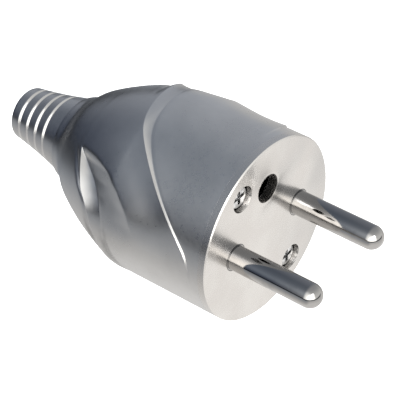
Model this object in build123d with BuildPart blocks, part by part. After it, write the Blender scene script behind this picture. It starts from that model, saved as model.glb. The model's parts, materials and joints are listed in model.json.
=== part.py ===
from build123d import *
from math import atan2, cos, degrees, exp, hypot, radians, sin, tanh
import os

os.makedirs("parts", exist_ok=True)

# A round two-pin mains plug with a socket for the wall outlet's earth pin.
# Millimetres. The axis lies along Y: the mating face is at y = 0, the pins point to -Y and the
# cord leaves to +Y. The pins stand side by side along X, and the earth socket is above them.

# Standard interface
pin_radius = 2.4
pin_length = 19.0
pin_root_radius = 2.6
pin_spacing = 19.0
nose_steps = 3
earth_height = 10.0
earth_pin_depth = 14.0

# Housing
barrel_radius = 18.6
shoulder_start = 23.0
shoulder_power = 1.6
shoulder_steps = 5
neck_radius = 8.7
neck_end = 46.0
neck_bore = 5.6
housing_wall = 1.8
cavity_turn = 33.0

# Swirl: three ridges that wind from the rim round the shoulder, each with a facet before it
ridge_count = 3
ridge_height = 0.75
ridge_first_height = 0.25
ridge_grows_at = 12.0
ridge_growth_length = 10.0
ridge_fade_length = 4.0
ridge_sink = 0.15
ridge_root = 1.2
ridge_back = 6.0
ridge_end_back = 1.8
ridge_start = 3.1
ridge_end = 34.6
ridge_middle = 26.3
ridge_middle_angle = 12.0
ridge_turn = 3.0
ridge_sweep_angle = 24.0
ridge_sweep_length = 2.0
ridge_run_out_angle = -30.0
ridge_run_out_length = 0.6
ridge_station_pitch = 3.8
ridge_trace_step = 0.05
facet_start = 14.0
facet_growth = 0.22
facet_closing = 1.2
facet_least = 0.4

# Pin carrier, the insulating insert whose front is the mating face
face_plate = 1.6
face_edge = 0.6
carrier_clearance = 0.2
carrier_web = 3.6
carrier_depth = 12.0
carrier_skirt = 1.8
carrier_core_half = 5.0
pin_hole_gap = 0.1
socket_hole_radius = 2.85
socket_lip_width = 1.0
socket_lip_height = 0.3

# Contacts: two solid pins and the earth tube, each with a collar and a screw terminal
collar_front = 8.0
collar_radius = 3.6
earth_collar_radius = 4.0
barrel_terminal_radius = 3.1
terminal_end = 22.0
earth_terminal_end = 24.0
wire_hole_radius = 1.5
wire_hole_depth = 6.0
terminal_screw_setback = 3.5
earth_tube_front = 1.9
earth_tube_bore = 2.45
earth_slit = 0.6
earth_slit_length = 5.8
earth_ring_front = 3.4
earth_ring_length = 2.0
earth_ring_thickness = 0.45
earth_ring_gap = 1.4
contact_clearance = 0.1

# Screws
thread_fit = 0.03
terminal_screw_radius = 1.4
terminal_head_radius = 2.3
terminal_head_height = 1.6
terminal_shank_stop = 0.6
head_seat_gap = 0.1
head_edge = 0.35
slot_width = 0.7
slot_depth = 0.8
housing_screw_inset = 3.0
housing_screw_angle = 30.0
housing_screw_radius = 1.45
housing_screw_end = 17.5
screw_tip_gap = 3.5
housing_head_radius = 2.4
housing_head_front = 0.9
housing_recess_radius = 2.65
housing_recess_depth = 2.6
cross_width = 0.75
cross_span = 3.0
cross_depth = 1.2
screw_passage_gap = 0.15

# Threaded inserts in the housing's screw bosses
insert_radius = 2.0
insert_length = 6.0
boss_gap = 0.3
housing_boss_radius = 3.1
housing_boss_end = 22.0
boss_web_width = 3.6

# Plate that traps the three contacts' collars, with the walls between the terminals
plate_thickness = 1.8
plate_pin_lobe = 4.6
plate_earth_lobe = 4.0
plate_bar = 6.4
separator_wall = 1.2
separator_end = 22.5
separator_shelf_z = 4.8
separator_shelf_half = 8.0
separator_foot_z = -5.0
plate_screw_x = 3.2
plate_screw_radius = 1.15
plate_screw_end = 7.5
plate_head_radius = 2.0
plate_head_height = 1.4

# Cord clamp on the carrier's tail
cord_radius = 4.0
cord_gap = 0.1
tail_half = 6.2
tail_top = -5.6
tail_thickness = 2.2
clamp_middle = 30.0
clamp_length = 4.8
clamp_screw_x = 8.3
clamp_foot_half = 10.5
clamp_foot_z = -1.2
clamp_foot_thickness = 2.0
clamp_arch = 2.1
clamp_post_radius = 2.2
clamp_screw_radius = 1.25
clamp_screw_end = -7.0
clamp_head_radius = 2.0
clamp_head_height = 1.6
cradle_half = 4.6
cradle_rise = 2.4

# Bend sleeve
sleeve_end = 60.2
sleeve_base_radius = 8.15
sleeve_tip_radius = 5.3
sleeve_edge = 0.8
sleeve_flange_radius = 7.4
sleeve_flange_front = 39.6
sleeve_flange_back = 42.0
sleeve_clearance = 0.1
groove_first = 49.7
groove_pitch = 2.55
groove_count = 4
groove_width = 1.1
groove_depth = 0.4

cavity_radius = barrel_radius - housing_wall
carrier_radius = cavity_radius - carrier_clearance
boss_front = carrier_depth + boss_gap
housing_screw_pitch_radius = cavity_radius - housing_screw_inset
housing_screw_x = housing_screw_pitch_radius * sin(radians(housing_screw_angle))
housing_screw_z = housing_screw_pitch_radius * cos(radians(housing_screw_angle))
boss_web_length = housing_screw_inset + housing_wall / 2
earth_bore_radius = barrel_terminal_radius + earth_ring_thickness + contact_clearance
terminal_shank = barrel_terminal_radius + head_seat_gap - terminal_shank_stop
clamp_front = clamp_middle - clamp_length / 2
clamp_back = clamp_middle + clamp_length / 2
plate_back = carrier_depth + plate_thickness
pin_places = {"line": (-pin_spacing / 2, 0.0), "neutral": (pin_spacing / 2, 0.0)}
earth_place = (0.0, earth_height)
contact_places = [*pin_places.values(), earth_place]
housing_screw_places = {
    "upper": (-housing_screw_x, housing_screw_z),
    "lower": (housing_screw_x, -housing_screw_z),
}
plate_screw_places = {"left": (-plate_screw_x, 0.0), "right": (plate_screw_x, 0.0)}
clamp_screw_places = {"left": -clamp_screw_x, "right": clamp_screw_x}


def cross_plane(y):
    # Seen from the pins: local x is X and local y is Z, and a negative extrusion goes to +Y.
    return Plane(origin=(0, y, 0), x_dir=(1, 0, 0), z_dir=(0, -1, 0))


def side_plane(x, z):
    # Through a line along Y at x, z: local x is Y and local y is the height above that line.
    return Plane(origin=(x, 0, z), x_dir=(0, 1, 0), z_dir=(1, 0, 0))


def long_axis(x, z):
    return Axis((x, 0, z), (0, 1, 0))


def level_plane(z):
    return Plane.XY.offset(z)


def mean_radius(y):
    share = max(0.0, (y - shoulder_start) / (neck_end - shoulder_start))
    return barrel_radius - (barrel_radius - neck_radius) * share**shoulder_power


def meridian_plane(angle):
    # Holds the axis: local x is Y and local y is the radius at that angle.
    turn = radians(angle)
    return Plane(origin=(0, 0, 0), x_dir=(0, 1, 0), z_dir=(cos(turn), 0, -sin(turn)))


def ridge_angle(y):
    # A slow helix that sweeps quickly round the shoulder and runs out beside the rim.
    from_middle = y - ridge_middle
    sweep = ridge_sweep_angle * tanh(from_middle / ridge_sweep_length)
    run_out = ridge_run_out_angle * exp((ridge_start - y) / ridge_run_out_length)
    return ridge_middle_angle + ridge_turn * from_middle + sweep + run_out


def ridge_rise(y):
    grown = max(0.0, min(1.0, (y - ridge_grows_at) / ridge_growth_length))
    fade = max(0.0, min(1.0, (ridge_end - y) / ridge_fade_length))
    return (ridge_first_height + (ridge_height - ridge_first_height) * grown) * fade


def facet_width(y):
    # The crescent facet before a ridge widens towards the shoulder and closes at the ridge's end.
    return max(facet_least, min(facet_growth * (y - facet_start), facet_closing * (ridge_end - y)))


def back_width(y):
    # The long slope behind a ridge shortens to a narrow bead past the shoulder.
    share = 1 / (1 + exp(y - ridge_middle))
    return ridge_end_back + (ridge_back - ridge_end_back) * share


def crest_stations():
    # Places along the crest, evenly spaced along its length rather than along Y.
    stations, travelled, y = [ridge_start], 0.0, ridge_start
    while y < ridge_end:
        turned = radians(ridge_angle(y + ridge_trace_step) - ridge_angle(y))
        travelled += hypot(turned * mean_radius(y), ridge_trace_step)
        y += ridge_trace_step
        if travelled > ridge_station_pitch:
            stations.append(y)
            travelled = 0.0
    return stations


def screw(seat, shank_radius, shank_length, head_radius, head_height, arms):
    # The head stands on the seat's plane and the shank goes the other way. One arm is a slot
    # right across the head, and two are a cross recess in a head with a broken edge.
    span, width, depth = (3 * head_radius, slot_width, slot_depth)
    if arms == 2:
        span, width, depth = (cross_span, cross_width, cross_depth)
    with BuildPart() as turned_screw:
        with BuildSketch(seat):
            Circle(head_radius)
        extrude(amount=head_height)
        if arms == 2:
            chamfer(turned_screw.faces().sort_by(Axis(seat.origin, seat.z_dir))[-1].edges(), head_edge)
        with BuildSketch(seat):
            Circle(shank_radius)
        extrude(amount=-shank_length)
        with BuildSketch(seat.offset(head_height - depth)):
            for arm in range(arms):
                Rectangle(span, width, rotation=90 * arm)
        extrude(amount=depth, mode=Mode.SUBTRACT)
    return turned_screw.part


# Housing: one hollow casting, swirled outside, with two screw bosses inside
with BuildPart() as rear_housing:
    with BuildSketch(side_plane(0, 0)):
        with BuildLine():
            shoulder_length = neck_end - shoulder_start
            steps = [shoulder_start + shoulder_length * step / shoulder_steps for step in range(shoulder_steps + 1)]
            Polyline(
                (face_plate, 0),
                (face_plate, barrel_radius),
                *[(y, mean_radius(y)) for y in steps],
                (neck_end, 0),
                (face_plate, 0),
            )
        make_face()
    revolve(axis=Axis.Y)
    for ridge in range(ridge_count):
        for crest_y in crest_stations():
            front_y = crest_y - facet_width(crest_y)
            back_y = crest_y + back_width(crest_y)
            with BuildSketch(meridian_plane(ridge_angle(crest_y) + ridge * 360 / ridge_count)):
                with BuildLine():
                    Polyline(
                        (front_y, mean_radius(front_y) - ridge_root),
                        (front_y, mean_radius(front_y) - ridge_sink),
                        (crest_y, mean_radius(crest_y) + ridge_rise(crest_y)),
                        (back_y, mean_radius(back_y) - ridge_sink),
                        (back_y, mean_radius(back_y) - ridge_root),
                        close=True,
                    )
                make_face()
        loft(ruled=True)
    with BuildSketch(side_plane(0, 0)):
        with BuildLine():
            seat_radius = sleeve_flange_radius + sleeve_clearance
            seat_front = sleeve_flange_front - sleeve_clearance
            Polyline(
                (0, 0),
                (0, cavity_radius),
                (shoulder_start, cavity_radius),
                (cavity_turn, mean_radius(cavity_turn) - housing_wall),
                (seat_front, seat_radius),
                (sleeve_flange_back, seat_radius),
                (sleeve_flange_back, neck_bore),
                (neck_end, neck_bore),
                (neck_end, 0),
                (0, 0),
            )
        make_face()
    revolve(axis=Axis.Y, mode=Mode.SUBTRACT)
    with BuildSketch(cross_plane(boss_front)):
        with Locations(*housing_screw_places.values()):
            Circle(housing_boss_radius)
        for x, z in housing_screw_places.values():
            with Locations(Location((x, z), degrees(atan2(z, x)))):
                Rectangle(boss_web_length, boss_web_width, align=(Align.MIN, Align.CENTER))
    extrude(amount=boss_front - housing_boss_end)
    with BuildSketch(cross_plane(boss_front)):
        with Locations(*housing_screw_places.values()):
            Circle(insert_radius + thread_fit)
    extrude(amount=-insert_length - thread_fit, mode=Mode.SUBTRACT)
    with BuildSketch(cross_plane(boss_front)):
        with Locations(*housing_screw_places.values()):
            Circle(housing_screw_radius + screw_passage_gap)
    extrude(amount=boss_front - housing_screw_end - screw_tip_gap, mode=Mode.SUBTRACT)
rear_housing.part.label = "rear_housing"
export_step(rear_housing.part, "parts/rear_housing.step")

# Threaded inserts: brass bushes pressed into the housing's bosses
for side, (x, z) in housing_screw_places.items():
    with BuildPart() as boss_insert:
        with BuildSketch(cross_plane(boss_front)):
            with Locations((x, z)):
                Circle(insert_radius)
                Circle(housing_screw_radius + thread_fit, mode=Mode.SUBTRACT)
        extrude(amount=-insert_length)
    boss_insert.part.label = f"{side}_boss_insert"
    export_step(boss_insert.part, f"parts/{side}_boss_insert.step")

# Bend sleeve: a soft grooved cone, with a flange caught inside the housing's neck
with BuildPart() as bend_sleeve:
    with BuildSketch(side_plane(0, 0)):
        with BuildLine():
            sleeve_bore = cord_radius + cord_gap
            Polyline(
                (sleeve_flange_front, sleeve_bore),
                (sleeve_flange_front, sleeve_flange_radius),
                (sleeve_flange_back - sleeve_clearance, sleeve_flange_radius),
                (sleeve_flange_back - sleeve_clearance, neck_bore - sleeve_clearance),
                (neck_end + sleeve_clearance, neck_bore - sleeve_clearance),
                (neck_end + sleeve_clearance, sleeve_base_radius),
                (sleeve_end, sleeve_tip_radius),
                (sleeve_end, sleeve_bore),
                (sleeve_flange_front, sleeve_bore),
            )
        make_face()
        for groove in range(groove_count):
            groove_y = groove_first + groove * groove_pitch
            share = (groove_y - neck_end) / (sleeve_end - neck_end)
            groove_radius = sleeve_base_radius + share * (sleeve_tip_radius - sleeve_base_radius)
            with BuildLine():
                Polyline(
                    (groove_y - groove_width / 2, groove_radius + groove_depth),
                    (groove_y, groove_radius - groove_depth),
                    (groove_y + groove_width / 2, groove_radius + groove_depth),
                    close=True,
                )
            make_face(mode=Mode.SUBTRACT)
    revolve(axis=Axis.Y)
    tip_edge = bend_sleeve.edges().filter_by(GeomType.CIRCLE).group_by(Axis.Y)[-1].sort_by(SortBy.RADIUS)[-1]
    chamfer(tip_edge, sleeve_edge)
bend_sleeve.part.label = "bend_sleeve"
export_step(bend_sleeve.part, "parts/bend_sleeve.step")

# Pin carrier: the mating face, the contacts' bosses and the tail with the cord clamp's seat
with BuildPart() as pin_carrier:
    with BuildSketch(cross_plane(0)):
        Circle(barrel_radius)
    extrude(amount=-face_plate)
    chamfer(pin_carrier.edges().group_by(Axis.Y)[0], face_edge)
    with BuildSketch(cross_plane(face_plate)):
        Circle(carrier_radius)
    extrude(amount=face_plate - carrier_depth)
    with BuildSketch(cross_plane(carrier_depth)):
        with Locations((carrier_core_half, carrier_core_half)):
            Rectangle(carrier_radius, carrier_radius, align=(Align.MIN, Align.MIN))
        with Locations((-carrier_core_half, -carrier_core_half)):
            Rectangle(carrier_radius, carrier_radius, align=(Align.MAX, Align.MAX))
        Circle(carrier_radius - carrier_skirt, mode=Mode.INTERSECT)
    extrude(amount=carrier_depth - carrier_web, mode=Mode.SUBTRACT)
    with BuildSketch(cross_plane(0)):
        with Locations(earth_place):
            Circle(socket_hole_radius + socket_lip_width)
    extrude(amount=socket_lip_height)
    with BuildSketch(cross_plane(-socket_lip_height)):
        with Locations(earth_place):
            Circle(socket_hole_radius)
        with Locations(*pin_places.values()):
            Circle(pin_root_radius + pin_hole_gap)
    extrude(amount=-socket_lip_height - carrier_depth, mode=Mode.SUBTRACT)
    with BuildSketch(cross_plane(face_plate)):
        with Locations(earth_place):
            Circle(earth_bore_radius)
    extrude(amount=face_plate - carrier_depth, mode=Mode.SUBTRACT)
    with BuildSketch(cross_plane(collar_front)):
        with Locations(*pin_places.values()):
            Circle(collar_radius + contact_clearance)
        with Locations(earth_place):
            Circle(earth_collar_radius + contact_clearance)
    extrude(amount=collar_front - carrier_depth, mode=Mode.SUBTRACT)
    with BuildSketch(cross_plane(0)):
        with Locations(*housing_screw_places.values()):
            Circle(housing_recess_radius)
    extrude(amount=-housing_recess_depth, mode=Mode.SUBTRACT)
    with BuildSketch(cross_plane(0)):
        with Locations(*housing_screw_places.values()):
            Circle(housing_screw_radius + screw_passage_gap)
    extrude(amount=-carrier_depth, mode=Mode.SUBTRACT)
    with BuildSketch(cross_plane(plate_screw_end)):
        with Locations(*plate_screw_places.values()):
            Circle(plate_screw_radius + thread_fit)
    extrude(amount=plate_screw_end - carrier_depth, mode=Mode.SUBTRACT)
    with BuildSketch(cross_plane(carrier_web)):
        with Locations((0, tail_top - tail_thickness / 2)):
            Rectangle(2 * tail_half, tail_thickness)
    extrude(amount=carrier_web - clamp_back)
    with BuildSketch(cross_plane(clamp_front)):
        with Locations((0, tail_top - tail_thickness / 2)):
            Rectangle(2 * clamp_foot_half, tail_thickness)
        with Locations((0, tail_top + cradle_rise / 2)):
            Rectangle(2 * cradle_half, cradle_rise)
        Circle(cord_radius + cord_gap, mode=Mode.SUBTRACT)
    extrude(amount=-clamp_length)
    with BuildSketch(level_plane(tail_top)):
        with Locations(*[(x, clamp_middle) for x in clamp_screw_places.values()]):
            Circle(clamp_post_radius)
    extrude(amount=clamp_foot_z - tail_top)
    with BuildSketch(level_plane(clamp_foot_z)):
        with Locations(*[(x, clamp_middle) for x in clamp_screw_places.values()]):
            Circle(clamp_screw_radius + thread_fit)
    extrude(amount=tail_top - tail_thickness - clamp_foot_z, mode=Mode.SUBTRACT)
pin_carrier.part.label = "pin_carrier"
export_step(pin_carrier.part, "parts/pin_carrier.step")

# Live pins: solid turned brass, round-nosed, with a collar and a screw terminal behind it
for side, (x, z) in pin_places.items():
    with BuildPart() as contact_pin:
        with BuildSketch(side_plane(x, z)):
            with BuildLine():
                nose = [
                    (pin_radius * (1 - cos(turn)) - pin_length, pin_radius * sin(turn))
                    for turn in [radians(90 * step / nose_steps) for step in range(nose_steps + 1)]
                ]
                Polyline(
                    *nose,
                    (0, pin_radius),
                    (0, pin_root_radius),
                    (collar_front, pin_root_radius),
                    (collar_front, collar_radius),
                    (carrier_depth, collar_radius),
                    (carrier_depth, barrel_terminal_radius),
                    (terminal_end, barrel_terminal_radius),
                    (terminal_end, 0),
                    nose[0],
                )
            make_face()
        revolve(axis=long_axis(x, z))
        with BuildSketch(cross_plane(terminal_end)):
            with Locations((x, z)):
                Circle(wire_hole_radius)
        extrude(amount=wire_hole_depth, mode=Mode.SUBTRACT)
        with BuildSketch(level_plane(z)):
            with Locations((x, terminal_end - terminal_screw_setback)):
                Circle(terminal_screw_radius + thread_fit)
        extrude(amount=-2 * barrel_terminal_radius, mode=Mode.SUBTRACT)
    contact_pin.part.label = f"{side}_pin"
    export_step(contact_pin.part, f"parts/{side}_pin.step")
    seat = Plane(
        origin=(x, terminal_end - terminal_screw_setback, z - barrel_terminal_radius - head_seat_gap),
        x_dir=(1, 0, 0),
        z_dir=(0, 0, -1),
    )
    terminal_screw = screw(
        seat, terminal_screw_radius, terminal_shank, terminal_head_radius, terminal_head_height, 1
    )
    terminal_screw.label = f"{side}_terminal_screw"
    export_step(terminal_screw, f"parts/{side}_terminal_screw.step")

# Earth contact: a slit brass tube that grips the outlet's pin, closed behind by its terminal
with BuildPart() as earth_contact:
    x, z = earth_place
    with BuildSketch(side_plane(x, z)):
        with BuildLine():
            bore_end = earth_tube_front + earth_pin_depth
            Polyline(
                (earth_tube_front, earth_tube_bore),
                (earth_tube_front, barrel_terminal_radius),
                (collar_front, barrel_terminal_radius),
                (collar_front, earth_collar_radius),
                (carrier_depth, earth_collar_radius),
                (carrier_depth, barrel_terminal_radius),
                (earth_terminal_end, barrel_terminal_radius),
                (earth_terminal_end, 0),
                (bore_end, 0),
                (bore_end, earth_tube_bore),
                close=True,
            )
        make_face()
    revolve(axis=long_axis(x, z))
    with BuildSketch(cross_plane(earth_tube_front)):
        with Locations((x, z)):
            Rectangle(3 * barrel_terminal_radius, earth_slit)
            Rectangle(earth_slit, 3 * barrel_terminal_radius)
    extrude(amount=-earth_slit_length, mode=Mode.SUBTRACT)
    with BuildSketch(cross_plane(earth_terminal_end)):
        with Locations((x, z)):
            Circle(wire_hole_radius)
    extrude(amount=wire_hole_depth, mode=Mode.SUBTRACT)
    with BuildSketch(level_plane(z)):
        with Locations((x, earth_terminal_end - terminal_screw_setback)):
            Circle(terminal_screw_radius + thread_fit)
    extrude(amount=2 * barrel_terminal_radius, mode=Mode.SUBTRACT)
earth_contact.part.label = "earth_contact"
export_step(earth_contact.part, "parts/earth_contact.step")

earth_screw_seat = Plane.XY.offset(earth_height + barrel_terminal_radius + head_seat_gap)
earth_terminal_screw = screw(
    earth_screw_seat.move(Location((0, earth_terminal_end - terminal_screw_setback, 0))),
    terminal_screw_radius,
    terminal_shank,
    terminal_head_radius,
    terminal_head_height,
    1,
)
earth_terminal_screw.label = "earth_terminal_screw"
export_step(earth_terminal_screw, "parts/earth_terminal_screw.step")

# Spring ring: a steel C that closes the slit end of the earth tube
with BuildPart() as earth_spring_ring:
    ring_bore = barrel_terminal_radius + thread_fit
    with BuildSketch(cross_plane(earth_ring_front)):
        with Locations(earth_place):
            Circle(ring_bore + earth_ring_thickness)
            Circle(ring_bore, mode=Mode.SUBTRACT)
            with Locations((0, ring_bore)):
                Rectangle(earth_ring_gap, 2 * ring_bore, mode=Mode.SUBTRACT)
    extrude(amount=-earth_ring_length)
earth_spring_ring.part.label = "earth_spring_ring"
export_step(earth_spring_ring.part, "parts/earth_spring_ring.step")

# Retaining plate: covers the three collars and carries the walls between the terminals
with BuildPart() as retaining_plate:
    with BuildSketch(cross_plane(carrier_depth)):
        with Locations(*pin_places.values()):
            Circle(plate_pin_lobe)
        with Locations(earth_place):
            Circle(plate_earth_lobe)
        Rectangle(pin_spacing, plate_bar)
        with Locations((0, earth_height / 2)):
            Rectangle(plate_bar, earth_height)
        with Locations(*contact_places):
            Circle(barrel_terminal_radius + contact_clearance, mode=Mode.SUBTRACT)
        with Locations(*plate_screw_places.values()):
            Circle(plate_screw_radius + screw_passage_gap, mode=Mode.SUBTRACT)
    extrude(amount=-plate_thickness)
    with BuildSketch(cross_plane(plate_back)):
        with Locations((0, (separator_foot_z + separator_shelf_z) / 2)):
            Rectangle(separator_wall, separator_shelf_z - separator_foot_z)
        with Locations((0, separator_shelf_z + separator_wall / 2)):
            Rectangle(2 * separator_shelf_half, separator_wall)
    extrude(amount=plate_back - separator_end)
retaining_plate.part.label = "retaining_plate"
export_step(retaining_plate.part, "parts/retaining_plate.step")

for side, (x, z) in plate_screw_places.items():
    seat = Plane(origin=(x, plate_back, z), x_dir=(1, 0, 0), z_dir=(0, 1, 0))
    plate_screw = screw(
        seat, plate_screw_radius, plate_back - plate_screw_end, plate_head_radius, plate_head_height, 1
    )
    plate_screw.label = f"{side}_plate_screw"
    export_step(plate_screw, f"parts/{side}_plate_screw.step")

# Cord clamp: an arched bar held down on the carrier's tail by two screws
with BuildPart() as cord_clamp_bar:
    with BuildSketch(cross_plane(clamp_front)):
        Circle(cord_radius + cord_gap + clamp_arch)
        with Locations((0, clamp_foot_z)):
            foot_align = (Align.CENTER, Align.MIN)
            Rectangle(2 * clamp_foot_half, clamp_foot_thickness, align=foot_align)
            Rectangle(2 * clamp_foot_half, barrel_radius, align=foot_align, mode=Mode.INTERSECT)
        Circle(cord_radius + cord_gap, mode=Mode.SUBTRACT)
    extrude(amount=-clamp_length)
    with BuildSketch(level_plane(clamp_foot_z)):
        with Locations(*[(x, clamp_middle) for x in clamp_screw_places.values()]):
            Circle(clamp_screw_radius + screw_passage_gap)
    extrude(amount=clamp_foot_thickness, mode=Mode.SUBTRACT)
cord_clamp_bar.part.label = "cord_clamp_bar"
export_step(cord_clamp_bar.part, "parts/cord_clamp_bar.step")

for side, x in clamp_screw_places.items():
    seat = Plane(origin=(x, clamp_middle, clamp_foot_z + clamp_foot_thickness))
    clamp_shank = clamp_foot_z + clamp_foot_thickness - clamp_screw_end
    clamp_screw = screw(seat, clamp_screw_radius, clamp_shank, clamp_head_radius, clamp_head_height, 1)
    clamp_screw.label = f"{side}_clamp_screw"
    export_step(clamp_screw, f"parts/{side}_clamp_screw.step")

# Housing screws: sunk in the mating face, with a cross recess
for side, (x, z) in housing_screw_places.items():
    seat = Plane(origin=(x, housing_recess_depth, z), x_dir=(1, 0, 0), z_dir=(0, -1, 0))
    housing_screw = screw(
        seat,
        housing_screw_radius,
        housing_screw_end - housing_recess_depth,
        housing_head_radius,
        housing_recess_depth - housing_head_front,
        2,
    )
    housing_screw.label = f"{side}_housing_screw"
    export_step(housing_screw, f"parts/{side}_housing_screw.step")
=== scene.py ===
import json
import math
import bpy
import numpy as np
from mathutils import Matrix, Vector


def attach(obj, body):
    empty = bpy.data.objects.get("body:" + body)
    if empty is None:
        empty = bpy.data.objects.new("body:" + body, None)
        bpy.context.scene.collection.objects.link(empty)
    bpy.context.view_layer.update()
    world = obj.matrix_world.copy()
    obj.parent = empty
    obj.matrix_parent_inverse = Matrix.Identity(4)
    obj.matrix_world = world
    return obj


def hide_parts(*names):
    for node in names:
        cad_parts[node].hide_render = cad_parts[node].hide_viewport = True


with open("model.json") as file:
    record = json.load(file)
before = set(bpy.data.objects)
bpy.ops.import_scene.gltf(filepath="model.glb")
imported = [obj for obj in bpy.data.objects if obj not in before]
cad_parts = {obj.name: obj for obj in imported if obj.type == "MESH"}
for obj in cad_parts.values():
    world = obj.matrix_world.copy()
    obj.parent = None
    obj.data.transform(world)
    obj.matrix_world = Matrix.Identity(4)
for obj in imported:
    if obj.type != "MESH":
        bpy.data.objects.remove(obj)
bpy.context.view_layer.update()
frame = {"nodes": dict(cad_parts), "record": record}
nodes = frame["nodes"]
mm = 0.001
print("frame loaded", len(nodes), "nodes")


# Camera: where it stands round the plug, in degrees and millimetres
camera = {
    "azimuth": -49.134,
    "elevation": 40.571,
    "roll": -3.149,
    "distance": 322.55,
    "lens": 157.713,
    "shiftRight": -12.411,
    "shiftUp": 5.386,
    "sensor": 36,
    "clipStart": 0.01,  # metres
    "clipEnd": 20,
}


def placeCamera(c):
    turn, lift, roll = (math.radians(c[key]) for key in ("azimuth", "elevation", "roll"))
    back = Vector((math.sin(turn) * math.cos(lift), -math.cos(turn) * math.cos(lift), math.sin(lift)))
    levelRight = Vector((math.cos(turn), math.sin(turn), 0))
    levelUp = back.cross(levelRight)
    right = math.cos(roll) * levelRight + math.sin(roll) * levelUp
    up = -math.sin(roll) * levelRight + math.cos(roll) * levelUp
    place = (right * c["shiftRight"] + up * c["shiftUp"] + back * c["distance"]) * mm
    data = bpy.data.cameras.new("photoCamera")
    data.lens = c["lens"]
    data.sensor_width = c["sensor"]
    data.clip_start = c["clipStart"]
    data.clip_end = c["clipEnd"]
    obj = bpy.data.objects.new("photoCamera", data)
    obj.matrix_world = Matrix.Translation(place) @ Matrix((right, up, back)).transposed().to_4x4()
    bpy.context.scene.collection.objects.link(obj)
    bpy.context.scene.camera = obj


placeCamera(camera)
print("camera placed")


# Shader maths: wraps one socket, so that an expression adds its nodes
class Shade:
    def __init__(self, tree, socket=None):
        self.tree = tree
        self.socket = socket

    def make(self, kind, settings=None, inputs=None, output=0):
        node = self.tree.nodes.new("ShaderNode" + kind)
        for key, value in (settings or {}).items():
            setattr(node, key, value)
        for key, value in (inputs or {}).items():
            if isinstance(value, Shade):
                self.tree.links.new(value.socket, node.inputs[key])
            else:
                node.inputs[key].default_value = value
        return Shade(self.tree, node.outputs[output])

    def math(self, operation, first, second):
        return self.make("Math", {"operation": operation}, {0: first, 1: second})

    def __add__(self, other):
        return self.math("ADD", self, other)

    __radd__ = __add__

    def __sub__(self, other):
        return self.math("SUBTRACT", self, other)

    def __rsub__(self, other):
        return self.math("SUBTRACT", other, self)

    def __mul__(self, other):
        return self.math("MULTIPLY", self, other)

    __rmul__ = __mul__

    def __truediv__(self, other):
        return self.math("DIVIDE", self, other)

    def __rtruediv__(self, other):
        return self.math("DIVIDE", other, self)

    def __pow__(self, other):
        return self.math("POWER", self, other)

    def clamp(self, low=0.0, high=1.0):
        return self.make("Clamp", {}, {"Value": self, "Min": low, "Max": high})

    def band(self, start, end):
        return self.make("MapRange", {"interpolation_type": "SMOOTHSTEP"}, {0: self, 1: start, 2: end})

    def blend(self, first, second):
        # self is the share of the second colour
        colours = {"Factor": self, 6: first, 7: second}
        return self.make("Mix", {"data_type": "RGBA"}, colours, output=2)

    def axis(self, letter):
        return self.make("SeparateXYZ", {}, {0: self}, output="XYZ".index(letter))

    def noise(self, scale, detail, roughness, stretch=(1, 1, 1)):
        place = self.make("Mapping", {}, {"Vector": self, "Scale": stretch})
        values = {"Vector": place, "Scale": scale, "Detail": detail, "Roughness": roughness}
        return self.make("TexNoise", {}, values)


def finish(name, metallic):
    # starts a finish: its material, the place on the piece and the principled shader
    material = bpy.data.materials.new(name)
    material.use_nodes = True
    tree = material.node_tree
    shader = tree.nodes["Principled BSDF"]
    shader.inputs["Metallic"].default_value = metallic
    place = Shade(tree).make("TexCoord", output="Object")
    return material, place, shader


def connect(shader, **values):
    for key, value in values.items():
        socket = shader.inputs[{"colour": "Base Color", "roughness": "Roughness", "normal": "Normal"}[key]]
        value.tree.links.new(value.socket, socket)


def relief(height, strength, depth):
    # depth is the relief's full height in metres
    return height.make("Bump", {}, {"Height": height, "Strength": strength, "Distance": depth})


# Finishes: each noise is its scale, detail and roughness, each Edge is where a mask starts and is
# full, and each Gloss is how far a noise sways the roughness. Depths are in metres.
casting = {
    "dark": (0.475, 0.47, 0.465, 1),
    "light": (0.57, 0.565, 0.56, 1),
    "roughness": 0.30,
    "cloud": (70, 4, 0.6),
    "cloudEdge": (0.3, 0.7),
    "cloudShare": 0.7,
    "cloudGloss": 0.1,
    "grain": (5200, 2, 0.6),
    "grainShare": 0.3,
    "fine": (1300, 3, 0.55),
    "fineGloss": 0.12,
    "fineHeight": 0.6,
    "bump": 0.35,
    "bumpDepth": 0.000009,
}


def castingFinish(name, c):
    material, place, shader = finish(name, 1.0)
    cloud = place.noise(*c["cloud"])
    grain = place.noise(*c["grain"])
    fine = place.noise(*c["fine"])
    tone = (cloud.band(*c["cloudEdge"]) * c["cloudShare"] + grain * c["grainShare"]).clamp()
    connect(
        shader,
        colour=tone.blend(c["dark"], c["light"]),
        roughness=(cloud - 0.5) * c["cloudGloss"] + (fine - 0.5) * c["fineGloss"] + c["roughness"],
        normal=relief(grain + fine * c["fineHeight"], c["bump"], c["bumpDepth"]),
    )
    return material


lacquer = {
    "base": (0.68, 0.655, 0.63, 1),
    "worn": (0.74, 0.72, 0.695, 1),
    # a darker tone laid in patches over the face, growing towards +X
    "rightDarkening": (0.55, 0.54, 0.53, 1),
    "rightDarkeningFrom": (-0.004, 0.022),  # across the face, by X
    "side": (0.53, 0.515, 0.5, 1),
    "sideFrom": (0.00015, 0.0003),  # behind the face, by Y
    "roughness": 0.27,
    "cloud": (120, 3, 0.55),
    "cloudEdge": (0.35, 0.7),
    "cloudGloss": 0.08,
    "patch": (55, 2, 0.5),
    "patchEdge": (0.35, 0.6),
    "grain": (3800, 2, 0.5),
    "grainGloss": 0.06,
    "bump": 0.25,
    "bumpDepth": 0.000008,
}


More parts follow.
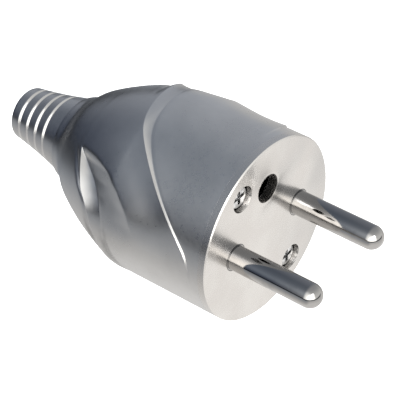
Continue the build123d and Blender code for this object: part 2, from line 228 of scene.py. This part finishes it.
def lacquerFinish(name, c):
    material, place, shader = finish(name, 1.0)
    cloud = place.noise(*c["cloud"])
    patch = place.noise(*c["patch"])
    grain = place.noise(*c["grain"])
    side = place.axis("Y").band(*c["sideFrom"])
    # the face darkens in patches towards +X
    darkenedRight = place.axis("X").band(*c["rightDarkeningFrom"]) * patch.band(*c["patchEdge"])
    face = darkenedRight.blend(cloud.band(*c["cloudEdge"]).blend(c["base"], c["worn"]), c["rightDarkening"])
    connect(
        shader,
        colour=side.blend(face, c["side"]),
        roughness=(cloud - 0.5) * c["cloudGloss"] + (grain - 0.5) * c["grainGloss"] + c["roughness"],
        normal=relief(grain, c["bump"], c["bumpDepth"]),
    )
    return material


plate = {
    "base": (0.44, 0.43, 0.42, 1),
    "tarnish": (0.34, 0.335, 0.33, 1),
    # painted reflection: the pin's upper side is darkened to stand in for the dark surround it mirrors
    "upper": (0.20, 0.202, 0.21, 1),
    "upperFrom": (0.0013, 0.0024),  # up the pin's flank, by Z
    "roughness": 0.07,
    "drawn": (900, 3, 0.6, (1, 0.05, 1)),  # stretched along Y, so the scratches run along the pin
    "drawnGloss": 0.10,
    "cloud": (260, 3, 0.6),
    "cloudEdge": (0.45, 0.75),
    "cloudGloss": 0.08,
    "bump": 0.25,
    "bumpDepth": 0.000006,
}


def plateFinish(name, c):
    material, place, shader = finish(name, 1.0)
    drawn = place.noise(*c["drawn"])
    cloud = place.noise(*c["cloud"])
    metal = cloud.band(*c["cloudEdge"]).blend(c["base"], c["tarnish"])
    # the colour darkens up the pin by Z, a painted dark reflection on its upper side
    connect(
        shader,
        colour=place.axis("Z").band(*c["upperFrom"]).blend(metal, c["upper"]),
        roughness=(drawn - 0.5) * c["drawnGloss"] + (cloud - 0.5) * c["cloudGloss"] + c["roughness"],
        normal=relief(drawn, c["bump"], c["bumpDepth"]),
    )
    return material


screwSteel = {"base": (0.74, 0.74, 0.74, 1), "shade": (0.38, 0.385, 0.395, 1), "roughness": 0.16}
spring = {"base": (0.28, 0.29, 0.30, 1), "shade": (0.18, 0.18, 0.19, 1), "roughness": 0.30}
brass = {"base": (0.60, 0.42, 0.17, 1), "shade": (0.40, 0.26, 0.10, 1), "roughness": 0.25}
turned = {
    "cloud": (1400, 3, 0.6),
    "cloudEdge": (0.4, 0.7),
    "cloudGloss": 0.2,
    "bump": 0.3,
    "bumpDepth": 0.00001,
}


def turnedFinish(name, c, t=turned):
    # the small metal pieces differ only in colour and gloss
    material, place, shader = finish(name, 1.0)
    cloud = place.noise(*t["cloud"])
    connect(
        shader,
        colour=cloud.band(*t["cloudEdge"]).blend(c["base"], c["shade"]),
        roughness=(cloud - 0.5) * t["cloudGloss"] + c["roughness"],
        normal=relief(cloud, t["bump"], t["bumpDepth"]),
    )
    return material


moulding = {
    "base": (0.62, 0.60, 0.55, 1),
    "shade": (0.55, 0.53, 0.48, 1),
    "roughness": 0.5,
    "cloud": (300, 3, 0.5),
    "cloudEdge": (0.35, 0.7),
    "grain": (4200, 2, 0.5),
    "grainGloss": 0.15,
    "bump": 0.3,
    "bumpDepth": 0.00001,
}


def mouldedFinish(name, c):
    material, place, shader = finish(name, 0.0)
    cloud = place.noise(*c["cloud"])
    grain = place.noise(*c["grain"])
    connect(
        shader,
        colour=cloud.band(*c["cloudEdge"]).blend(c["base"], c["shade"]),
        roughness=(grain - 0.5) * c["grainGloss"] + c["roughness"],
        normal=relief(grain, c["bump"], c["bumpDepth"]),
    )
    return material


finishes = {
    "housing_metal": castingFinish("satinCasting", casting),
    "carrier_moulding": lacquerFinish("silverLacquer", lacquer),
    "sleeve_moulding": castingFinish("sleeveMetal", casting),
    "plated_contact": plateFinish("nickelPlate", plate),
    "screw_steel": turnedFinish("zincedSteel", screwSteel),
    "spring_steel": turnedFinish("springSteel", spring),
    "insert_brass": turnedFinish("turnedBrass", brass),
    "inner_moulding": mouldedFinish("paleMoulding", moulding),
}
slotOf = {part["node"]: part["material_slot"] for part in frame["record"]["subparts"]}
for name, node in nodes.items():
    node.data.materials.clear()
    node.data.materials.append(finishes[slotOf[name]])
print("finishes made", len(finishes))


# Shared by the pieces below
weldDistance = 0.000002  # metres, under which two corners are one
closeBy = 0.01  # millimetres, within which a place counts as met
onPlane = 0.001


def selectNothing():
    for obj in bpy.context.selected_objects:
        obj.select_set(False)


def editing(obj):
    selectNothing()
    obj.select_set(True)
    bpy.context.view_layer.objects.active = obj
    bpy.ops.object.mode_set(mode="EDIT")


def done():
    bpy.ops.object.mode_set(mode="OBJECT")


def settle(obj, node, angle):
    # gives a finished piece its finish, shading and body, in place of its CAD node
    selectNothing()
    obj.select_set(True)
    bpy.context.view_layer.objects.active = obj
    bpy.ops.object.shade_smooth_by_angle(angle=math.radians(angle))
    obj.data.materials.clear()
    obj.data.materials.append(finishes[slotOf[node]])
    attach(obj, "root")
    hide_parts(node)


def plainCopy(node, name):
    # a merged copy of a CAD node, with one vertex at each corner
    mesh = nodes[node].data.copy()
    obj = bpy.data.objects.new(name, mesh)
    bpy.context.scene.collection.objects.link(obj)
    editing(obj)
    bpy.ops.mesh.customdata_custom_splitnormals_clear()
    bpy.ops.mesh.select_all(action="SELECT")
    bpy.ops.mesh.remove_doubles(threshold=weldDistance)
    bpy.ops.mesh.select_all(action="DESELECT")
    done()
    return obj


def pickNothing(obj, kind):
    # leaves the whole mesh unselected, with edges or faces as what is picked next
    editing(obj)
    bpy.ops.mesh.select_mode(type=kind)
    bpy.ops.mesh.select_all(action="DESELECT")
    done()


def pick(obj, kind, wanted):
    # selects the edges or faces whose corners all pass the test, in edit mode
    pickNothing(obj, kind)
    mesh = obj.data
    for part in {"EDGE": mesh.edges, "FACE": mesh.polygons}[kind]:
        part.select = all(wanted(mesh.vertices[i].co / mm) for i in part.vertices)
    editing(obj)


def faceOutwards():
    # the last step of a piece's edit mode
    bpy.ops.mesh.select_all(action="SELECT")
    bpy.ops.mesh.normals_make_consistent(inside=False)
    bpy.ops.mesh.select_all(action="DESELECT")
    done()


def pullOut(length):
    bpy.ops.mesh.extrude_region_move(TRANSFORM_OT_translate={"value": (0, length * mm, 0)})


def turnOn(profile, x=0.0):
    # pulls the selected ring along Y through a profile of (y, radius) pairs about the line at x
    for (fromY, fromRadius), (toY, toRadius) in zip(profile, profile[1:]):
        pullOut(toY - fromY)
        scale = toRadius / fromRadius
        if scale != 1:
            bpy.ops.transform.resize(value=(scale, 1, scale), center_override=(x * mm, toY * mm, 0))


# Rear housing. Its inside is the CAD node's own, and its swirled outside is a grid rolled round
# the axis. The grid's columns follow the three crests and the feet of their facets, but not the
# crests' run-out along the rim, where they would be sheared too far to shade smoothly.
# Millimetres and degrees. Angles go from the earth socket's side round towards the neutral pin.
# A facet and a scallop lie before a crest, on the rim's side, and a slope or a blade behind it.
housing = {
    "front": 1.6,
    "neckEnd": 46.0,
    "barrelRadius": 18.6,
    "neckRadius": 8.7,
    "shoulderStart": 23.0,
    "shoulderPower": 1.6,
    "waistMiddle": 43.6,
    "waistDepth": 0.65,
    "waistLength": 1.9,
    "ridges": 3,
    "crestStart": 3.1,
    "crestEnd": 34.6,
    "crestMiddle": 26.3,
    "middleAngle": 12.0,
    "turn": 3.0,
    "sweepAngle": 24.0,
    "sweepLength": 2.0,
    "runOutAngle": 30.0,
    "runOutLength": 0.6,
    "riseAt": [12.0, 25.0, 28.5, 31.0],
    "rise": [0.25, 0.30, 0.38, 0.65],
    "fadeIn": 1.2,
    "fadeOut": 4.0,
    "facetStart": 14.0,
    "facetGrowth": 0.22,
    "facetClosing": 1.2,
    "facetLeast": 0.4,
    "facetBlend": 0.25,
    "facetScoop": 0.45,
    "footGroove": 0.09,
    "grooveWidth": 0.4,
    "slopeLength": 6.0,
    "bladeFrom": 25.5,
    "bladeGrowth": 2.5,
    "bladeWidth": 1.3,
    "bladeGroove": 0.6,
    "bladeEven": 0.3,
    "bladeDrop": 2.5,
    "bladeHollow": 0.8,
    "apexFrom": 30.8,
    "apexTurn": 2.9,
    "scallopAngle": [-35, -20, -10, 0, 10, 16, 20, 24, 30, 36, 41, 50, 59, 67, 71, 74],
    "scallopEdge": [16, 18.5, 20.2, 21.3, 22, 21.8, 20.4, 19.1, 18.2, 17.5, 17, 18.6, 21.3, 24.6, 28, 31],
    "scallopDepth": [0, 0, 0, 0.02, 0.06, 0.08, 0.1, 0.15, 0.28, 0.52, 0.78, 1.15, 1.25, 0.88, 0.35, 0],
    "scallopSoftness": 0.0006,
    "scallopBend": 2.2,
    "swellRise": 0.55,
    "swellMiddle": 19.5,
    "swellLength": 6.0,
    "swellAngle": 42.0,
    "swellTurn": 30.0,
    "ridgeCopies": (-6, 9),  # thirds of a turn by which a crest can still pass a place
    "trace": 0.01,
    "traceBeyond": (1, 6),
    "rowPitch": 0.45,
    "rowTurn": 2.6,
    "rimRows": (2.4, 6.0, 0.08),  # first, last and pitch
    "edgeRows": [0, 0.15, 0.5, 1, 1.4],  # shares of the edge
    "facetColumns": [0, 0.05, 0.12, 0.22, 0.34, 0.46, 0.58, 0.7, 0.82, 0.91, 0.96, 1],
    "openColumns": 84,
    "bladeColumns": [2.4, 2.1, 1.85, 1.6, 1.4, 1.2, 1.05, 0.92, 0.8, 0.66, 0.52, 0.38, 0.25, 0.14, 0.06],
    "columnGap": 0.12,
    "edge": 0.004,
    "seamWeld": 0.000001,  # metres
    "wallHalf": 0.9,
    "smoothAngle": 35,
}


def share(values):
    return np.clip(values, 0, 1)


def eased(values):
    return share(values) ** 2 * (3 - 2 * share(values))


def meanRadius(y, h=housing):
    past = np.clip((y - h["shoulderStart"]) / (h["neckEnd"] - h["shoulderStart"]), 0, None)
    waist = h["waistDepth"] * np.exp(-(((y - h["waistMiddle"]) / h["waistLength"]) ** 2))
    return h["barrelRadius"] - (h["barrelRadius"] - h["neckRadius"]) * past ** h["shoulderPower"] - waist


def steadyAngle(y, h=housing):
    # the crest's angle without its run-out along the rim
    past = y - h["crestMiddle"]
    sweep = h["sweepAngle"] * np.tanh(past / h["sweepLength"])
    apex = h["apexTurn"] * np.clip(y - h["apexFrom"], 0, None)
    return h["middleAngle"] + h["turn"] * past + sweep + apex


def crestAngle(y, h=housing):
    past = np.clip(y - h["crestStart"], 0, None)
    return steadyAngle(y) - h["runOutAngle"] * np.exp(-past / h["runOutLength"])


def crestRise(y, h=housing):
    full = np.interp(y, h["riseAt"], h["rise"])
    return full * share((y - h["crestStart"]) / h["fadeIn"]) * share((h["crestEnd"] - y) / h["fadeOut"])


def facetWidth(y, h=housing):
    opening = h["facetGrowth"] * (y - h["facetStart"])
    closing = h["facetClosing"] * (h["crestEnd"] - y)
    blend = h["facetBlend"]
    narrower = -blend * np.logaddexp(-opening / blend, -closing / blend)
    return blend * np.logaddexp(h["facetLeast"] / blend, narrower / blend)


def swirlHeight(y, angle, h=housing):
    # how far the surface stands over the turned body, from each crest's profile along the axis
    crestY = np.arange(h["crestStart"], h["crestEnd"], h["trace"])
    crestTurn = crestAngle(crestY)
    height = np.zeros_like(y)
    for ridge in range(*h["ridgeCopies"]):
        turned = angle - ridge * 360 / h["ridges"]
        nearest = np.interp(turned, crestTurn, crestY)
        below = nearest - y
        rise = crestRise(nearest)
        width = facetWidth(nearest)
        # before the crest: the facet, scooped and sunk into its scallop, and the scallop's bank
        bank = np.interp(turned, h["scallopAngle"], h["scallopEdge"])
        sunk = np.interp(turned, h["scallopAngle"], h["scallopDepth"])
        climb = (y - bank) / (nearest - width - bank)
        climb = (climb + np.sqrt(climb**2 + h["scallopSoftness"])) / 2
        groove = h["footGroove"] * rise / h["rise"][-1]
        part = share(below / width)
        part = part + h["facetScoop"] * part * (1 - part)
        facet = rise - (rise + groove + sunk) * part
        foot = -groove * np.exp(-(((below - width) / h["grooveWidth"]) ** 2))
        foot -= sunk * (1 - share(1 - climb) ** h["scallopBend"])
        # behind the crest: a long slope on the barrel, and a blade with a hollow further back
        slope = rise * share(1 + below / h["slopeLength"]) ** 2
        dip = h["bladeGroove"] * rise / h["rise"][-1]
        back = share(-below / h["bladeWidth"])
        fall = (rise + dip) * (back * h["bladeEven"] + (1 - h["bladeEven"]) * back ** h["bladeDrop"])
        beyond = dip * np.exp(-(((below + h["bladeWidth"]) / h["bladeHollow"]) ** 2))
        blade = np.where(-below < h["bladeWidth"], rise - fall, -beyond)
        bladed = eased((nearest - h["bladeFrom"]) / h["bladeGrowth"])
        behind = slope * (1 - bladed) + blade * bladed
        height += np.where(below < 0, behind, np.where(below < width, facet, foot))
        # a slight swell of the barrel before the scallop
        along = (y - h["swellMiddle"]) / h["swellLength"]
        aside = (turned - h["swellAngle"]) / h["swellTurn"]
        height += h["swellRise"] * np.exp(-(along**2 + aside**2))
    return height


def swirlRows(h=housing):
    # closer rows where the crests turn quickly, where they run out beside the rim, and at the ends
    y = np.arange(h["front"], h["neckEnd"], h["trace"])
    turned = np.abs(np.gradient(steadyAngle(y), y))
    density = np.hypot(1 / h["rowPitch"], turned / h["rowTurn"])
    passed = np.cumsum(density) * h["trace"]
    count = int(passed[-1])
    rows = np.interp(np.linspace(passed[0], passed[-1], count), passed, y)
    first, last, pitch = h["rimRows"]
    dense = np.arange(first, last, pitch)
    rows = np.concatenate([rows[rows < first - pitch], dense, rows[rows > last]])
    rounding = h["edge"] * np.array(h["edgeRows"])
    inner = rows[(rows > h["front"] + 2 * h["edge"]) & (rows < h["neckEnd"] - 2 * h["edge"])]
    return np.concatenate([h["front"] + rounding, inner, h["neckEnd"] - rounding[::-1]])


def swirlColumns(rows, h=housing):
    # the angle of each column at each row, over one third of the turn, from one crest to the next
    before, after = h["traceBeyond"]
    crestY = np.arange(h["front"] - before, h["neckEnd"] + after, h["trace"])
    own = steadyAngle(rows)
    columns = []
    for part in h["facetColumns"]:
        nearest = np.interp(rows, crestY - part * facetWidth(crestY), crestY)
        columns.append(steadyAngle(nearest) - own)
    apart = h["columnGap"] * np.arange(len(columns))
    columns = [np.maximum(column, gap) for column, gap in zip(columns, apart)]
    third = 360 / h["ridges"]
    behind = []
    for part in h["bladeColumns"]:
        behind.append(third + steadyAngle(rows - part * h["bladeWidth"]) - own)
    apart = third - h["columnGap"] * np.arange(len(behind), 0, -1)
    behind = [np.minimum(column, gap) for column, gap in zip(behind, apart)]
    first, last = columns[-1], behind[0]
    for step in range(1, h["openColumns"]):
        columns.append(first + (last - first) * step / h["openColumns"])
    columns += behind
    return np.array([own + column for column in columns])


def makeHousing(h=housing):
    rows = swirlRows()
    third = swirlColumns(rows)
    turns = [third + ridge * 360 / h["ridges"] for ridge in range(h["ridges"])]
    angles = np.vstack([*turns, third[:1] + 360])
    y = np.broadcast_to(rows, angles.shape)
    radius = meanRadius(y) + swirlHeight(y, angles)
    for place, inwards in ((h["front"], 1), (h["neckEnd"], -1)):
        depth = share(1 - inwards * (y - place) / h["edge"])
        radius = radius - h["edge"] * (1 - np.sqrt(1 - depth**2))
    turn = np.radians(angles)
    spots = np.stack([radius * np.sin(turn), y, radius * np.cos(turn)], axis=-1) * mm
    selectNothing()
    across, along = spots.shape[0] - 1, spots.shape[1] - 1
    bpy.ops.mesh.primitive_grid_add(x_subdivisions=across, y_subdivisions=along, size=1)
    skin = bpy.context.object
    skin.name = "rear_housing_finished"
    # the grid's vertices run along its own x first, and x is the housing's turn
    skin.data.vertices.foreach_set("co", spots.transpose(1, 0, 2).astype(np.float32).ravel())
    skin.data.update()
    return skin


def cadInside(h=housing):
    # the CAD node's cavity and screw bosses, without its outside and the rings at its two ends
    inside = plainCopy("rear_housing", "housingInside")
    mesh = inside.data
    for face in mesh.polygons:
        spots = np.array([mesh.vertices[i].co for i in face.vertices]) / mm
        y, reach = spots[:, 1], np.hypot(spots[:, 0], spots[:, 2])
        outside = np.all(reach > meanRadius(y) - h["wallHalf"])
        atFront = np.all(np.abs(y - h["front"]) < closeBy)
        atNeck = np.all(np.abs(y - h["neckEnd"]) < closeBy)
        face.select = bool(outside or atFront or atNeck)
    editing(inside)
    bpy.ops.mesh.delete(type="FACE")
    done()
    return inside


def closeHousing(skin, inside, h=housing):
    # bridges the open edges of the skin and the inside at both ends
    selectNothing()
    inside.select_set(True)
    skin.select_set(True)
    bpy.context.view_layer.objects.active = skin
    bpy.ops.object.join()
    for place in (h["front"], h["neckEnd"]):
        pickNothing(skin, "EDGE")
        mesh = skin.data
        used = np.zeros(len(mesh.edges), int)
        sides = np.empty(len(mesh.loops), int)
        mesh.loops.foreach_get("edge_index", sides)
        np.add.at(used, sides, 1)
        for edge in mesh.edges:
            ends = [mesh.vertices[i].co.y / mm for i in edge.vertices]
            atPlace = max(abs(y - place) for y in ends) < closeBy
            edge.select = bool(used[edge.index] == 1 and atPlace)
        editing(skin)
        bpy.ops.mesh.bridge_edge_loops()
        done()
    editing(skin)
    bpy.ops.mesh.select_mode(type="FACE")
    faceOutwards()


def sealSeam(skin, h=housing):
    # joins the grid's first column to its last
    editing(skin)
    bpy.ops.mesh.select_all(action="SELECT")
    bpy.ops.mesh.remove_doubles(threshold=h["seamWeld"])
    done()


skin = makeHousing()
sealSeam(skin)
closeHousing(skin, cadInside())
settle(skin, "rear_housing", housing["smoothAngle"])
print("housing made", len(skin.data.polygons), "faces")


# Bend sleeve: turned from its bore round its flange and back, with V grooves in its cone
sleeve = {
    "segments": 128,
    "bore": 4.1,
    "front": 39.6,
    "flangeRadius": 7.4,
    "flangeEnd": 41.9,
    "neckRadius": 5.5,
    "coneStart": 46.1,
    "coneEnd": 60.2,
    "baseRadius": 8.15,
    "tipRadius": 5.3,
    "hollow": 0.22,
    "tipEdge": 0.8,
    "tipSteps": 6,
    "firstGroove": 49.7,
    "groovePitch": 2.55,
    "grooves": 4,
    "grooveFront": 0.62,
    "grooveBack": 0.22,
    "grooveDepth": 0.42,
    "step": 0.1,
    "smoothAngle": 40,
}


def sleeveCone(s=sleeve):
    y = np.arange(s["coneStart"], s["coneEnd"] - s["tipEdge"], s["step"])
    along = (y - s["coneStart"]) / (s["coneEnd"] - s["coneStart"])
    radius = s["baseRadius"] + (s["tipRadius"] - s["baseRadius"]) * along
    radius -= s["hollow"] * np.sin(np.pi * along)
    for groove in range(s["grooves"]):
        away = y - s["firstGroove"] - groove * s["groovePitch"]
        wall = np.where(away < 0, -away / s["grooveBack"], away / s["grooveFront"])
        radius -= s["grooveDepth"] * eased(1 - wall)
    turn = np.radians(np.linspace(0, 90, s["tipSteps"]))
    edge = s["tipEdge"]
    tip = zip(s["coneEnd"] - edge * (1 - np.sin(turn)), radius[-1] - edge * (1 - np.cos(turn)))
    return [*zip(y.tolist(), radius.tolist()), *[(float(a), float(b)) for a, b in tip][1:]]


def makeSleeve(s=sleeve):
    selectNothing()
    start = (s["front"], s["bore"])
    bpy.ops.mesh.primitive_circle_add(
        vertices=s["segments"],
        radius=s["bore"] * mm,
        location=(0, s["front"] * mm, 0),
        rotation=(math.radians(90), 0, 0),
    )
    obj = bpy.context.object
    obj.name = "bend_sleeve_finished"
    bpy.ops.object.transform_apply(location=True, rotation=True, scale=True)
    editing(obj)
    bpy.ops.mesh.select_mode(type="EDGE")
    bpy.ops.mesh.select_all(action="SELECT")
    turnOn([
        start,
        (s["front"], s["flangeRadius"]),
        (s["flangeEnd"], s["flangeRadius"]),
        (s["flangeEnd"], s["neckRadius"]),
        (s["coneStart"], s["neckRadius"]),
        *sleeveCone(),
        (s["coneEnd"], s["bore"]),
        start,
    ])
    bpy.ops.mesh.select_all(action="SELECT")
    bpy.ops.mesh.remove_doubles(threshold=weldDistance)
    faceOutwards()
    settle(obj, "bend_sleeve", s["smoothAngle"])


makeSleeve()
print("sleeve turned")


# Live pins: the CAD node's root and terminal, with a rounder nose drawn out of the root
pins = {
    "radius": 2.4,
    "length": 19.0,
    "noseSteps": 12,
    "smoothAngle": 35,
    "places": {"line_pin": -9.5, "neutral_pin": 9.5},
}


def makePin(node, x, p=pins):
    obj = plainCopy(node, node + "_finished")
    reach = p["radius"] + closeBy
    pick(obj, "FACE", lambda co: co.y < closeBy and math.hypot(co.x - x, co.z) < reach)
    bpy.ops.mesh.delete(type="FACE")
    done()
    pick(obj, "EDGE", lambda co: abs(co.y) < closeBy and math.hypot(co.x - x, co.z) < reach)
    tip = p["radius"] - p["length"]
    turns = np.radians(np.linspace(0, 90, p["noseSteps"] + 1))[:-1]
    nose = [(tip - p["radius"] * math.sin(t), p["radius"] * math.cos(t)) for t in turns]
    turnOn([(0, p["radius"]), (-p["length"] / 2, p["radius"]), *nose], x)
    pullOut(-p["length"] - nose[-1][0])
    bpy.ops.mesh.merge(type="CENTER")
    faceOutwards()
    settle(obj, node, p["smoothAngle"])


for node, x in pins["places"].items():
    makePin(node, x)
print("pins drawn out", len(pins["places"]))


# Pin carrier: the CAD form with a finer edge round its face and a softer lip round the earth hole
carrier = {
    "radius": 18.6,
    "edge": 0.6,
    "finerEdge": 0.22,
    "lipRadius": 3.85,
    "lipHeight": 0.3,
    "lipSpread": 0.45,
    "earthHeight": 10.0,
    "smoothAngle": 38,
}


def makeCarrier(c=carrier):
    obj = plainCopy("pin_carrier", "pin_carrier_finished")
    for vertex in obj.data.vertices:
        spot = vertex.co / mm
        reach = math.hypot(spot.x, spot.z)
        fromHole = math.hypot(spot.x, spot.z - c["earthHeight"])
        if abs(spot.y) < onPlane and abs(reach - c["radius"] + c["edge"]) < closeBy:
            grown = (c["radius"] - c["finerEdge"]) / reach
            vertex.co = Vector((spot.x * grown, 0, spot.z * grown)) * mm
        elif abs(spot.y - c["edge"]) < onPlane and abs(reach - c["radius"]) < closeBy:
            vertex.co.y = c["finerEdge"] * mm
        elif abs(spot.y + c["lipHeight"]) < onPlane and abs(fromHole - c["lipRadius"]) < closeBy:
            shrunk = (c["lipRadius"] - c["lipSpread"]) / fromHole
            vertex.co.x = spot.x * shrunk * mm
            vertex.co.z = (c["earthHeight"] + (spot.z - c["earthHeight"]) * shrunk) * mm
    settle(obj, "pin_carrier", c["smoothAngle"])


makeCarrier()
print("carrier edged")


# Pieces whose CAD form is right: a merged copy of the node is shaded smooth up to this angle
mergedPieces = {
    "earth_contact": 30,
    "upper_housing_screw": 25,
    "lower_housing_screw": 25,
}

for node, angle in mergedPieces.items():
    settle(plainCopy(node, node + "_finished"), node, angle)
print("merged copies made", len(mergedPieces))


# Floor: white to the camera, and well below the plug. What metal sees of it is a pool of light,
# bright underneath and weaker further off. It is darker far behind the tail, brighter in front and
# to the right, and ends at a dark skyline.
paleFloor = {
    "drop": 0.22,
    "size": 30,
    "paint": (0.8, 0.8, 0.8, 1),
    "seen": 0.92,
    "skyline": (0.08, 0.22),
    "poolLeast": 0.40,
    "poolGrowth": 0.80,
    "poolMost": 1.1,
    "poolLean": 0.06,
    "speck": 0.0001,  # keeps the way from the plug's foot from being divided by nothing
    "farSide": (0.8, 0.6),
    "farEdge": (0.15, 0.40),
    "farShade": 0.75,
    "nearGlow": 0.4,
    "nearEdge": (0.1, 0.7),
    "rightGlow": 0.3,
    "rightEdge": (0.6, 0.88),
    "tint": (1.0, 0.985, 0.965, 1),
    "lowTint": (0.88, 0.95, 1.06, 1),
    "tintEdge": (0.3, 0.8),
}


def buildFloor(s):
    bpy.ops.mesh.primitive_plane_add(size=s["size"], location=(0, 0, -s["drop"]))
    floor = bpy.context.object
    floor.name = "floor"
    material = bpy.data.materials.new("paleFloor")
    material.use_nodes = True
    tree = material.node_tree
    tree.nodes.clear()
    start = Shade(tree)
    seen = start.make("LightPath", output="Is Camera Ray")
    glossy = start.make("LightPath", output="Is Glossy Ray")
    clear = start.make("LightPath", output="Is Transmission Ray")
    spot = start.make("TexCoord", output="Object")
    x, y = spot.axis("X"), spot.axis("Y")
    flat = (x * x + y * y + s["speck"]) ** 0.5
    steep = s["drop"] / (x * x + y * y + s["drop"] ** 2) ** 0.5
    leant = steep - x / flat * s["poolLean"]
    right = (x / flat).band(*s["rightEdge"])
    far = (x * s["farSide"][0] + y * s["farSide"][1]).band(*s["farEdge"]) * (1 - right)
    near = (0 - y / flat).band(*s["nearEdge"]) * s["nearGlow"] + right * s["rightGlow"]
    pool = (leant * leant * s["poolGrowth"] + s["poolLeast"]) * (1 - far * s["farShade"]) + near
    pool = pool.clamp(0, s["poolMost"]) * (steep.band(*s["skyline"]) + right).clamp()
    tint = pool.band(*s["tintEdge"]).blend(s["lowTint"], s["tint"])
    strength = pool * (1 - seen) + seen * s["seen"]
    matt = start.make("BsdfDiffuse", inputs={"Color": s["paint"]})
    glow = start.make("Emission", inputs={"Color": tint, "Strength": strength})
    white = start.make("Emission", inputs={"Color": (1, 1, 1, 1), "Strength": strength})
    lit = start.make("AddShader", inputs={0: matt, 1: white})
    mirrored = start.make("MixShader", inputs={0: (glossy + clear).clamp(), 1: matt, 2: glow})
    mixed = start.make("MixShader", inputs={0: seen, 1: mirrored, 2: lit})
    end = tree.nodes.new("ShaderNodeOutputMaterial")
    tree.links.new(mixed.socket, end.inputs["Surface"])
    floor.data.materials.append(material)


# Surround: white to the camera. Metal sees it grey overhead, darker over the tail and lowest down,
# brighter to the right, and brightest in front and at the left, where a soft box stands.
surround = {
    "horizon": (0.04, 0.055, 0.095, 1),
    "horizonEdge": (-0.05, 0.6),
    "overhead": (0.29, 0.335, 0.405, 1),
    "tail": (0.180, 0.205, 0.255, 1),
    "tailEdge": (0.45, 0.9),
    "rightSide": (0.52, 0.555, 0.62, 1),
    "rightEdge": (0.0, 0.9),
    "front": (1.00, 1.00, 0.98, 1),
    "frontEdge": (-0.48, -0.02),
    "left": (1.9, 1.9, 1.86, 1),
    "leftEdge": (0.25, 0.75),
    "softBox": (3.0, 2.95, 2.85, 1),
    "softBoxFrom": (-0.72, -0.66, 0.21),
    "softBoxEdge": (0.72, 0.90),
}


def buildWorld(s):
    world = bpy.data.worlds.new("studio")
    bpy.context.scene.world = world
    world.use_nodes = True
    tree = world.node_tree
    tree.nodes.clear()
    way = Shade(tree).make("TexCoord", output="Generated")
    x, y, z = way.axis("X"), way.axis("Y"), way.axis("Z")
    seen = way.make("LightPath", output="Is Camera Ray")
    above = y.band(*s["tailEdge"]).blend(s["overhead"], s["tail"])
    sky = z.band(*s["horizonEdge"]).blend(s["horizon"], above)
    sky = x.band(*s["rightEdge"]).blend(sky, s["rightSide"])
    front = (0 - x).band(*s["leftEdge"]).blend(s["front"], s["left"])
    sky = (0 - y).band(*s["frontEdge"]).blend(sky, front)
    side = x * s["softBoxFrom"][0] + y * s["softBoxFrom"][1] + z * s["softBoxFrom"][2]
    sky = side.band(*s["softBoxEdge"]).blend(sky, s["softBox"])
    light = way.make("Background", inputs={"Color": seen.blend(sky, (1, 1, 1, 1)), "Strength": 1.0})
    end = tree.nodes.new("ShaderNodeOutputWorld")
    tree.links.new(light.socket, end.inputs["Surface"])


# Lamps, turned to the plug: metres and watts
lamps = {
    "key": {"from": (-0.30, -0.70, 0.60), "size": 0.30, "power": 3.0},
}


def buildLamps(table):
    for name, lamp in table.items():
        data = bpy.data.lights.new(name, "AREA")
        data.shape = "SQUARE"
        data.size = lamp["size"]
        data.energy = lamp["power"]
        obj = bpy.data.objects.new(name, data)
        obj.location = lamp["from"]
        obj.rotation_euler = Vector(lamp["from"]).to_track_quat("Z", "Y").to_euler()
        bpy.context.scene.collection.objects.link(obj)


buildFloor(paleFloor)
buildWorld(surround)
buildLamps(lamps)
bpy.context.scene.view_settings.view_transform = "Standard"
print("stage built")
